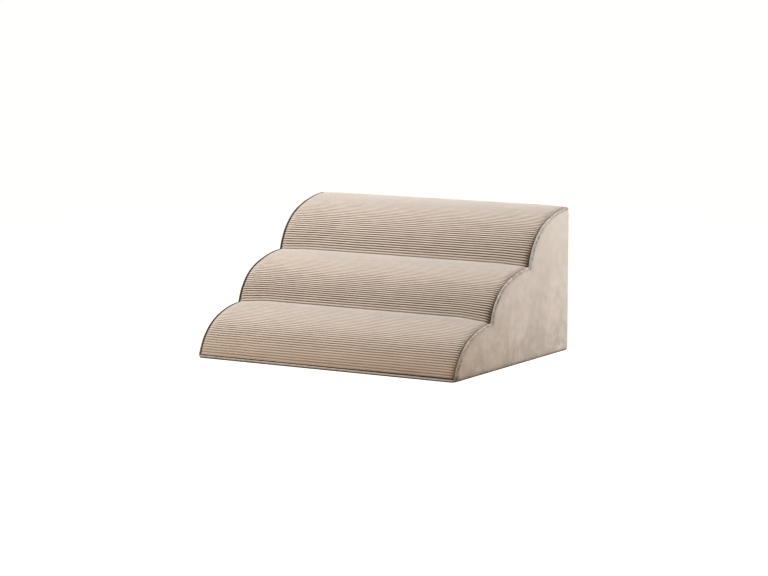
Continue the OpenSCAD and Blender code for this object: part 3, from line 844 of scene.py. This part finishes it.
def side_rows(side):
    """Rows of a side panel's points, from its seam down: their places in the side view, how proud they are,
    how far from the seam they are, and how steep the seam is above them."""
    edge = np.array(ROLLS[side] + CHANNEL) * MM
    near = np.array(NEAR_EDGE) * MM
    lines = [stair_line(d, SIDE_Z, BACK_Y, near, 5, 26, 16) for d in (0, *edge[:, 1])]
    steep = smooth(-lines[0][1][None, :, 0] * 1.2 - 0.1)
    rings = [line[0] for line in lines[1:]]
    last = rings[-1]
    length = last[:, 1] - SIDE_Z
    share = np.arange(len(PANEL_ROWS)) / (len(PANEL_ROWS) - 1)
    heights = np.minimum(PANEL_ROWS[:, None], share[:, None] * length)[::-1][1:]
    yz = np.array([*rings, *stacked(last[:, 0], SIDE_Z + heights)])
    proud = np.append(edge[:, 0], np.full(len(heights), edge[-1, 0]))[:, None]
    inside = np.append(edge[:, 1], np.zeros(len(heights)))[:, None]
    fall = np.concatenate([np.zeros((len(rings), len(last))), (length - heights) * 0.6])
    return yz, proud, np.where(fall > 0, edge[-1, 1] + fall, inside), steep


def side_cover(side, materials):
    """A suede side panel: a rolled edge beside the cord, a sewn channel along it, and a full middle."""
    yz, proud, from_seam, steep = side_rows(side)
    y, z = yz[..., 0], yz[..., 1]
    back, bottom = BACK_Y - y, z - SIDE_Z
    full = 1 - np.exp(-np.minimum(np.minimum(from_seam, back), bottom) / (35 * MM))
    soft = ripple(y, z, 85, 5) + 0.5 * ripple(y, z, 34, 6)
    proud = proud + (0.9 * full + 0.42 * soft * full * ramp(from_seam, 9, 14)) * MM
    flat, high = 1 - steep, ramp(z, 110, 40)
    proud = proud + (0.8 + 0.3 * high) * MM * flat * bell(from_seam - 5.2 * MM, 1.6)
    edges = rounded(back, 3.4) * rounded(bottom, 5)
    tucked = -1.3 * MM
    points = at_x(side * (COVER_X + tucked + (proud - tucked) * edges), yz)
    rows, cols = points.shape[:2]
    # Painted shade: in the sewn channel, beside the seam, over the roll's crest on the flats where it would
    # catch light, and along the lower edge, most in front
    channel_shade = bell(from_seam - CHANNEL_DEPTH, 2.3) * (0.15 + 0.85 * steep)
    pucker = 0.5 + 0.5 * ripple(np.arange(cols)[None] * 3 * MM, from_seam, 22, 8)
    crest_shade = (0.85 + 0.3 * high) * flat * bell(from_seam - 2.6 * MM, 2.2)
    painted_shade = 0.26 * bell(from_seam, 10) + (1.4 + 1.2 * pucker) * channel_shade + crest_shade
    painted_shade = painted_shade + 0.85 * (1.1 - 0.75 * ramp(y, 60, 120)) * bell(bottom, 7)
    shape = Shape().add(points, quads(rows, cols, side < 0), 0, yz, 1 - painted_shade.ravel())
    obj = shape.piece("cover_side_" + SIDES[side], materials, weld=True, outside=False)
    thicken(obj)
    sew(obj, points[STITCH_RING], (side, 0, 0), materials[1], 9 * MM)
    place(obj, "side_cover_" + SIDES[side])
    area = area_under(stair_line(SIDE_EDGE_DEPTH, BOTTOM_T, BACK_Y)[0], BOTTOM_T)


def back_panel(node_name, name, upper, materials, seed):
    """A suede panel above or below the zip: tucked in at its seams and folded under at the zip."""
    low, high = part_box(node_name)
    low_z, stitch_z = (low.z, low.z + 3.2 * MM) if upper else (SIDE_Z, high.z - 3.2 * MM)
    x, z = spread(low.x, high.x, 9, NEAR_EDGE), spread(low_z, high.z, 9, NEAR_EDGE)
    zz, xx = np.meshgrid(z, x, indexing="ij")
    from_side = np.minimum(xx - low.x, high.x - xx)
    from_end, from_fold = (high.z - zz, zz - low_z) if upper else (zz - low_z, high.z - zz)
    soft = ripple(xx, zz, 110, seed) + 0.5 * ripple(xx, zz, 45, seed + 1)
    full = 1 - np.exp(-np.minimum(np.minimum(from_side, from_end), from_fold) / (30 * MM))
    proud = 0.6 * MM + (0.9 * full + 0.4 * soft * full) * MM - 0.45 * MM * bell(zz - stitch_z, 0.8)
    proud = proud * (0.35 + 0.65 * ramp(from_fold, 1, 7))
    edges = rounded(from_side, 3.2) * rounded(from_end, 2.4)
    out = BACK_Y - 1.2 * MM + (proud + 1.2 * MM) * edges
    out = out - 0.75 * MM * (1 - rounded(from_fold, 0.9))
    raised = zz + crown(xx, 1.0) * smooth(1 - (high.z - zz) / (20 * MM)) if upper else zz
    points = stacked(xx, out, raised)
    shape = Shape().add(points, quads(len(z), len(x), True), 0, stacked(xx, zz))
    obj = shape.piece(name, materials, outside=False)
    thicken(obj)
    row = points[np.argmin(np.abs(z - stitch_z))].copy()
    row[:, 2] = stitch_z
    sew(obj, row, (0, 1, 0), materials[1], 7 * MM)
    place(obj, node_name)


def bottom_cover(cloth, rubber):
    """The non-slip bottom: a dark woven sheet with a thick edge and round corners, and grip dots below it."""
    outline, out = [], []
    for cx, cy, start, radius in BOTTOM_CORNERS:
        for t in np.radians(start + np.linspace(0, 90, 8)):
            out.append((math.cos(t), math.sin(t)))
            centre = np.array([cx * (COVER_X - radius), cy * (BACK_Y - radius)])
            outline.append(centre + radius * np.array(out[-1]))
    outline, out = np.array(outline), np.array(out)
    # thinner in front, and most at the left
    thin = 1 - np.interp(outline[:, 0], [-COVER_X, COVER_X], [0.32, 0.05]) * np.clip(-out[:, 1], 0, 1)
    layers, n = np.array(BOTTOM_EDGE) * MM, len(outline)
    points = []
    for grow, z in layers:
        heights = z * thin if z > 0.3 * MM else np.full(n, z)
        points.append(np.column_stack([outline + grow * out, heights]))
    shape = Shape().add(np.concatenate(points), loft(len(layers), n))
    grip_dots(shape, layers[-1, 1])
    obj = place(shape.piece("cover_bottom", [cloth, rubber]), "bottom_cover")


def grip_dots(shape, z):
    """Low round dots in staggered rows, which stand on the floor."""
    turn = turns(DOT_SIDES)
    ring = stacked(np.cos(turn), np.sin(turn), 0) * DOT_R
    rings = [ring * share + [0, 0, level * MM] for share, level in ((1, 0.1), (0.93, -0.3), (0.6, -0.47))]
    dot = np.concatenate([[[0, 0, 0.1 * MM]], *rings, [[0, 0, -z]]])
    faces = []
    for k in range(DOT_SIDES):
        j = (k + 1) % DOT_SIDES
        low = 1 + 2 * DOT_SIDES
        faces += [(0, 1 + k, 1 + j), (low + k, low + DOT_SIDES, low + j)]
        for a in (1, 1 + DOT_SIDES):
            faces.append((a + k, a + DOT_SIDES + k, a + DOT_SIDES + j, a + j))
    across, deep = (int((half - DOT_MARGIN) / DOT_STEP) for half in (COVER_X, BACK_Y))
    for r in range(-deep, deep + 1):
        odd = r % 2
        for c in range(-across, across + 1 - odd):
            shape.add(dot + [(c + odd / 2) * DOT_STEP, r * DOT_STEP, z], faces, 1)


# Cords and hem


def smoothed(path, rounds):
    """A path with its corners eased. Its ends stay."""
    path = path.copy()
    for _ in range(rounds):
        path[1:-1] += 0.5 * ((path[:-2] + path[2:]) / 2 - path[1:-1])
    return path


def side_piping(side, material):
    """The dark cord in a side seam, from the hem to the back."""
    thick, reach, depth = CORDS[side]
    line = stair_line(depth, 2.6 * MM, BACK_Y - 0.2 * MM)[0]
    far = distances(line)
    at = np.linspace(0, far[-1], round(far[-1] / (1.6 * MM)) + 1)
    line = smoothed(points_at(line, far, at), 5)
    z = line[:, 1]
    x = side * (reach + 0.10 * MM * ripple(at, 0, 26, 71))
    radius = thick * (1 + 0.05 * ripple(at, 0, 7, 72)) * (0.45 + 0.55 * ramp(at, 0, 9))
    # Thicker higher up and standing out further low down, so that the left cord also stands in for the shade
    # along its edge
    if side < 0:
        radius = radius * (1 + 0.15 * ramp(z, 50, 50))
        x = x + 1.4 * MM * ramp(-z, -36, 28)
    steep = smooth(unit(np.gradient(line, axis=0))[:, 1] * 1.4 - 0.2)
    # Painted light on the right cord only: most on the flats, and on the risers more low down
    fluff_and_painted_light = (0.42 * (1 - steep) + steep * (0.08 + 0.30 * ramp(-z, -70, 40))) * (side > 0)
    painted_shading = 1 - np.repeat(fluff_and_painted_light, CORD_SIDES)
    shape = Shape().tube(at_x(x, line), radius, CORD_SIDES, (1, 0, 0), painted_shading=painted_shading)
    place(shape.piece("cord_side_" + SIDES[side], [material]), "side_piping_" + SIDES[side])


def front_piping(material):
    """The dark cord along the front, between the corduroy and the hem, thicker towards the right."""
    x = np.linspace(-1, 1, 400) * (TREAD_X - 0.1 * MM)
    right = smooth((x + TREAD_X) / (2 * TREAD_X))
    depth = (1.4 - right) * MM
    y, z = lobe_point(0, slope_at_z(PIPING_Z, depth), depth).T
    y = y + 0.12 * MM * ripple(x, 0, 45, 73)
    z = z + (0.55 * right + 0.1 * ripple(x, 0, 60, 74)) * MM
    radius = (0.9 + 0.85 * right) * MM * (1 + 0.05 * ripple(x, 0, 8, 75))
    shape = Shape().tube(stacked(x, y, z), radius, CORD_SIDES, (0, 0, 1))
    place(shape.piece("cord_front", [material]), "front_piping")


def front_hem(materials):
    """The bottom's edge turned up in front as a pale hem. Its ends round off above the floor."""
    x = spread(-COVER_X, COVER_X, 6, [0, 0.3, 0.8, 1.6, 2.6, 3.8, 5.2, 8.0])[:, None]
    end = 1 - np.clip((COVER_X - np.abs(x)) / (5.2 * MM), 0, 1)
    right = smooth((x + COVER_X) / (2 * COVER_X))
    turn = turns(20)
    across, upward = (np.sign(v) * np.abs(v) ** 0.7 for v in (np.cos(turn), np.sin(turn)))
    base_z = 1.9 * MM + 2.2 * MM * (1 - np.sqrt(1 - end**2))
    half = (HEM_TOP_Z - base_z) / 2
    z = base_z + half + half * upward
    wave = 0.15 * MM * ripple(x, 0, 50, 81) - 0.7 * MM * right * (1 - end)
    depth = 1.15 * MM * (1 + across) - 0.25 * MM * (across < 0) + wave + 1.2 * MM * end**3
    y = lobe_point(0, slope_at_z(np.clip(z, BOTTOM_T, HEM_TOP_Z + 1 * MM), 0), depth)[..., 0]
    points = stacked(x, y, z)
    # Painted shade along the hem, growing towards the left
    painted_shading = 1 - np.repeat(0.75 * (1 - right), len(turn))
    obj = Shape().add(points, loft(*points.shape[:2]), painted_shading=painted_shading).piece("cover_front_hem", materials)
    place(obj, "front_hem_band")


# Liner, tapes and foam


def band(depth, thickness, x_half, line_of, step, seed, swell=0.0):
    """A sheet of cloth across the width, along a line in the side view: both sides, its map, its length."""
    x = spread(-x_half, x_half, step, [0, 0.4, 1.2, 3])
    (outer, out), (inner, _) = line_of(depth), line_of(depth + thickness)
    ss, xx = np.meshgrid(distances(outer), x, indexing="ij")
    lift = swell * ripple(xx, ss, 60, seed)[..., None] * out[:, None]
    return at_x(xx, outer[:, None] + lift), at_x(xx, inner[:, None] + lift), stacked(xx, ss), ss[-1, 0]


def liner_tread(material):
    """The liner's sheet over the treads."""
    *sheet, length = band(
        LINER_DEPTH, LINER_T, LINER_X, lambda d: stair_line(d, LINER_TOP_Z, LINER_Y), 12, 91, 0.1 * MM
    )
    obj = place(Shape().sheet(*sheet).piece("liner_tread", [material]), "liner_tread_sheet")


def liner_side(side, material):
    """A side of the liner."""
    line = stair_line(COMFORT_DEPTH, LINER_TOP_Z, LINER_Y - LINER_T)[0]
    share = np.linspace(1, 0, 16)[:, None] ** 1.3
    yz = stacked(line[:, 0], LINER_TOP_Z + (line[:, 1] - LINER_TOP_Z) * share)
    wave = 0.12 * MM * (ripple(yz[..., 0], yz[..., 1], 40, 92) - 1)
    outer = at_x(side * (LINER_X + wave), yz)
    shape = Shape().sheet(outer, outer - [side * (LINER_T - 0.25 * MM), 0, 0], yz)
    obj = shape.piece("liner_cloth_" + SIDES[side], [material], weld=True)
    place(obj, "liner_side_" + SIDES[side])


def liner_flat(node_name, name, thin, material, seed):
    """A flat side of the liner, which is thin along that axis."""
    low, high = (np.array(c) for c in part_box(node_name))
    a, b = [k for k in range(3) if k != thin]
    near = [0, 0.5, 1.5, 4]
    uv = np.meshgrid(*(spread(low[k], high[k], 14, near) for k in (a, b)), indexing="ij")
    wave = 0.12 * MM * (1 + ripple(*uv, 45, seed))
    grids = []
    for level in (high[thin] - wave, low[thin] + 0.25 * MM - wave):
        parts = [*uv]
        parts.insert(thin, np.maximum(level, low[thin]))
        grids.append(stacked(*parts))
    obj = place(Shape().sheet(*grids, stacked(*uv)).piece(name, [material]), node_name)


def hold_tapes(kind, depth, material):
    """The two hook or loop tapes, one beside each valley."""
    shape = Shape()
    for i in (0, 1):
        slopes = TREAD_SLOPE + HOLD_W / RADII[i][1] * np.linspace(1, 0, 14)

        def line_of(d):
            return lobe_point(i, slopes, d), normal(slopes)

        shape.sheet(*band(depth, HOLD_T, HOLD_X, line_of, 8, 95 + i)[:3])
    obj = place(shape.piece(kind + "_tapes", [material]), "valley_" + kind + "_tapes")


def with_round_corners(outline):
    """A closed outline of foam with each sharp corner turned into a small arc."""
    points = []
    for before, here, after in zip(np.roll(outline, 1, 0), outline, np.roll(outline, -1, 0)):
        u, v = before - here, after - here
        lu, lv = np.linalg.norm(u), np.linalg.norm(v)
        angle = math.acos(float(np.clip(u @ v / (lu * lv), -1, 1)))
        if angle > math.radians(150):
            points.append(here)
            continue
        reach = min(FOAM_ROUND * MM / math.tan(angle / 2), 0.45 * lu, 0.45 * lv)
        p, q = here + u / lu * reach, here + v / lv * reach
        points += [(1 - t) ** 2 * p + 2 * t * (1 - t) * here + t * t * q for t in np.linspace(0, 1, 5)]
    return np.array(points)


def soft_block(name, node_name, outline, material, seed):
    """A block of foam: its outline in the side view carried across the width, with round edges."""
    outline = with_round_corners(np.array(outline))
    ahead, behind = np.roll(outline, -1, 0), np.roll(outline, 1, 0)
    along = unit(ahead - behind)
    area = np.sum(outline[:, 0] * ahead[:, 1] - ahead[:, 0] * outline[:, 1])
    out = np.column_stack([along[:, 1], -along[:, 0]]) * (1 if area > 0 else -1)
    x = spread(-FOAM_X, FOAM_X, 30, [0, 0.3, 0.9, 1.6, 2.6, 6, 14])[:, None]
    inset = FOAM_ROUND * MM * (1 - rounded(FOAM_X - np.abs(x), FOAM_ROUND))
    uneven = 0.25 * MM * (ripple(x, distances(outline), 38, seed) - 1)
    points = at_x(x, outline + (uneven - inset)[..., None] * out)
    obj = place(Shape().add(points, loft(*points.shape[:2])).piece(name, [material]), node_name)


def lobe_outline(i, depth):
    """Lobe i's line at a depth, with its valley corners."""
    line = [*lobe_point(i, np.array(lobe_slopes(i, depth, FOAM_Z, FOAM_Y)), depth)]
    before = [valley(i) - depth * MITRE] if i else []
    after = [valley(i + 1) - depth * MITRE] if i < 2 else []
    return before + line + after


def foam_tier(i, material):
    """One tier of the core: a slab whose front follows its lobe."""
    line = lobe_outline(i, FOAM_DEPTH)
    if i < 2:
        line.append(np.array([FOAM_Y, line[-1][1]]))
    line.append(np.array([FOAM_Y, (valley(i) - FOAM_DEPTH * MITRE)[1] if i else FOAM_Z]))
    soft_block("foam_" + NAMES[i], "foam_tier_" + NAMES[i], line, material, 101 + i)


def comfort_pad(i, material):
    """The softer layer over a lobe."""
    line = lobe_outline(i, COMFORT_DEPTH) + lobe_outline(i, FOAM_DEPTH)[::-1]
    soft_block("comfort_" + NAMES[i], "comfort_foam_" + NAMES[i], line, material, 111 + i)


# Zip


def zip_tape(side, row, material):
    """A woven tape of the zip, with its corded edge beside the coil."""
    low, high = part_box("zip_tape_" + row)
    near = [0, 0.25, 0.6, 1.2, 2.0]
    x, z = spread(low.x, high.x, 8, near), spread(low.z, high.z, 2, near)
    zz, xx = np.meshgrid(z, x, indexing="ij")
    wave = 0.05 * MM * (1 + ripple(xx, zz, 30, 121 + (side > 0)))
    edge = (1 - rounded(np.minimum(zz - low.z, high.z - zz), 0.3)) * 0.15 * MM
    outer, inner = high.y - wave - edge, low.y + 0.12 * MM - wave * 0.5 + edge
    shape = Shape().sheet(stacked(xx, outer, zz), stacked(xx, inner, zz), stacked(xx, zz))
    obj = shape.piece("zipper_tape_" + row, [material])
    place(obj, "zip_tape_" + row)


def zip_coil(side, row, materials):
    """One row of the zip: a flattened coil of nylon, sewn on by a line of thread."""
    wire, pitch = 0.36 * MM, 1.62 * MM
    low, high = SUEDE_Y + wire, SUEDE_Y + 1.8 * MM - wire
    inner, outer = COIL_IN + wire, COIL_OUT - wire
    # one turn, as distance from the zip's middle, y and share of the pitch: across below, round the outer
    # bend, back on top, and round the head
    turn = (
        (inner + 0.1 * MM, low + 0.1 * MM, 0), (inner + 0.9 * MM, low, 0.16), (outer - 0.3 * MM, low, 0.3),
        (outer, (low + high) / 2, 0.42), (outer - 0.3 * MM, high, 0.52), (inner + 0.9 * MM, high, 0.68),
        (inner + 0.1 * MM, high - 0.1 * MM, 0.84), (inner, (low + high) / 2, 0.93),
    )
    reach, y, share = np.array(turn).T
    count = int((2 * COIL_X - 2 * wire) / pitch)
    x = -count * pitch / 2 + (np.arange(count)[:, None] + share) * pitch
    shape = Shape().tube(stacked(x, y, ZIP_Z + side * reach).reshape(-1, 3), wire, 6, (1, 0, 0))
    x = np.arange(-COIL_X + 1 * MM, COIL_X - 1 * MM, pitch / 2)
    dip = np.where(np.arange(len(x)) % 2, 0.12 * MM, 0)
    shape.tube(stacked(x, high + wire * 0.55 - dip, ZIP_Z + side * 2.1 * MM), 0.2 * MM, 5, (0, 0, 1), 1)
    place(shape.piece("zipper_coil_" + row, materials), "zip_coil_" + row)


def zip_tabs(material):
    """The two suede tabs past the ends of the zip, between the edges of the panels."""
    low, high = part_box("zip_end_tabs")
    near = [0, 0.3, 0.8, 1.5]
    x, z = spread(TABS_X, high.x, 2, near), spread(low.z, high.z, 1.5, near)
    zz, xx = np.meshgrid(z, x, indexing="ij")
    edge = np.minimum(np.minimum(zz - low.z, high.z - zz), xx - TABS_X)
    out = high.y - 0.5 * MM * (1 - rounded(edge, 0.9))
    shape = Shape()
    for side in SIDES:
        shape.sheet(stacked(side * xx, out, zz), stacked(side * xx, low.y, zz), stacked(xx, zz))
    obj = place(shape.piece("zipper_end_tabs", [material]), "zip_end_tabs")


def paint(names, material):
    """Gives carried-over CAD nodes their material."""
    for name in names:
        mesh = frame["nodes"][name].data
        mesh.materials.clear()
        mesh.materials.append(material)


# Camera, light and floor


def aim(obj, at, direction):
    """Puts a camera or a lamp at a place and turns it in a direction."""
    obj.matrix_world = Matrix.Translation(at) @ direction.to_track_quat("-Z", "Y").to_matrix().to_4x4()


def camera():
    """The photograph's camera: from the front right, a little above."""
    across = math.cos(CAMERA_PITCH)
    view = Vector((math.sin(CAMERA_YAW) * across, math.cos(CAMERA_YAW) * across, -math.sin(CAMERA_PITCH)))
    data = bpy.data.cameras.new("camera")
    data.lens, data.sensor_width, data.clip_end = LENS, 36, 200
    obj = add_object("camera", data)
    aim(obj, CAMERA_AT, view)
    bpy.context.scene.camera = obj


def area_light(name, at, target, size, power):
    """A round soft lamp."""
    data = bpy.data.lights.new(name, "AREA")
    data.shape, data.size, data.energy, data.color = "DISK", size, power, COOL
    aim(add_object(name, data), at, Vector(target) - Vector(at))


def seen(n):
    """1 for rays from the camera, and for those that metal and glass send on."""
    path = n.node("LightPath").outputs
    sent_on = n.calc("MAXIMUM", path["Is Glossy Ray"], path["Is Transmission Ray"])
    return n.calc("MAXIMUM", path["Is Camera Ray"], sent_on)


def world():
    """Soft studio light that comes from the left and fades to the right, with a white background."""
    w = bpy.data.worlds.new("studio")
    bpy.context.scene.world = w
    w.use_nodes = True
    n = Nodes(w.node_tree)
    across = n.axis(n.node("TexCoord").outputs["Generated"], 0)
    level = n.calc("MULTIPLY_ADD", across, -SOFT_LIGHT / 2, SOFT_LIGHT / 2)
    white = seen(n)
    inputs = n.tree.nodes["Background"].inputs
    n.put(inputs["Strength"], n.calc("ADD", n.times(level, n.rest(white)), white))
    n.put(inputs["Color"], n.mixed(white, WARM, (1, 1, 1)))


def floor():
    """A plain pale floor that keeps a soft shadow."""
    m = Look("floor", 1.0)
    m.set(Base_Color=(*FLOOR_COLOUR, 1), Specular_IOR_Level=0.0)
    glow = m.node("Emission", None, Color=(1, 1, 1, 1), Strength=m.times(seen(m), FLOOR_GLOW))
    both = m.node("AddShader")
    m.put(both.inputs[0], m.shader.outputs[0])
    m.put(both.inputs[1], glow.outputs[0])
    m.put(m.tree.nodes["Material Output"].inputs["Surface"], both.outputs[0])
    mesh = bpy.data.meshes.new("floor")
    corners = [(x * FLOOR_HALF, y * FLOOR_HALF, 0) for x, y in ((-1, -1), (1, -1), (1, 1), (-1, 1))]
    mesh.from_pydata(corners, [], [(0, 1, 2, 3)])
    mesh.materials.append(m.material)
    add_object("floor", mesh)


def studio():
    """Light from the upper left in front and from the right behind, as in the photograph."""
    bpy.context.scene.view_settings.view_transform = "Standard"
    world()
    floor()
    area_light("key", (1.25, 0.85, 1.05), (0.1, 0, 0.12), 0.9, 26.6)
    area_light("top", (-0.6, -0.5, 1.5), (0, 0, 0.1), 1.0, 29.5)


def stairs():
    """Every piece of the object."""
    corduroy, suede, cord = corduroy_material(), suede_material(), cord_material()
    sewn = [suede, thread_material("thread", THREAD)]
    liner = woven_material("liner_cloth", LINER, 0.7 * MM, 0.85, 0.1, 0.25)
    core = foam_material("core_foam", CORE_FOAM, 1.1 * MM)
    comfort = foam_material("comfort_foam", COMFORT_FOAM, 0.8 * MM)
    for i in LOBES:
        tread_cover(i, corduroy)
        foam_tier(i, core)
        comfort_pad(i, comfort)
    for side in SIDES:
        side_cover(side, sewn)
        side_piping(side, cord)
        liner_side(side, liner)
    back_panel("back_cover", "cover_back", True, sewn, 51)
    back_panel("back_skirt", "cover_back_skirt", False, sewn, 61)
    grip = woven_material("grip_cloth", GRIP_BROWN, 0.9 * MM, 0.9, 0.15, 0.45, 0.15 * MM, "XY")
    bottom_cover(grip, rubber_material())
    front_piping(cord)
    front_hem([suede_material("hem_cloth", HEM, 0.05)])
    liner_tread(liner)
    liner_flat("liner_back", "liner_cloth_back", 1, liner, 131)
    liner_flat("liner_bottom", "liner_cloth_bottom", 2, liner, 132)
    hold_tapes("hook", HOOK_DEPTH, hook_material())
    hold_tapes("loop", LOOP_DEPTH, loop_material())
    tape = woven_material("zip_tape", ZIP_TAPE, 0.5 * MM, 0.85, 0.15, 0.35, 0.1 * MM)
    coil = [nylon_material(), thread_material("coil_thread", ZIP_TAPE)]
    for side, row in ((1, "upper"), (-1, "lower")):
        zip_tape(side, row, tape)
        zip_coil(side, row, coil)
    zip_tabs(suede)
    paint(("zip_top_stops", "zip_bottom_stop", "zip_slider", "zip_pull"), metal_material())


camera()
studio()
stairs()
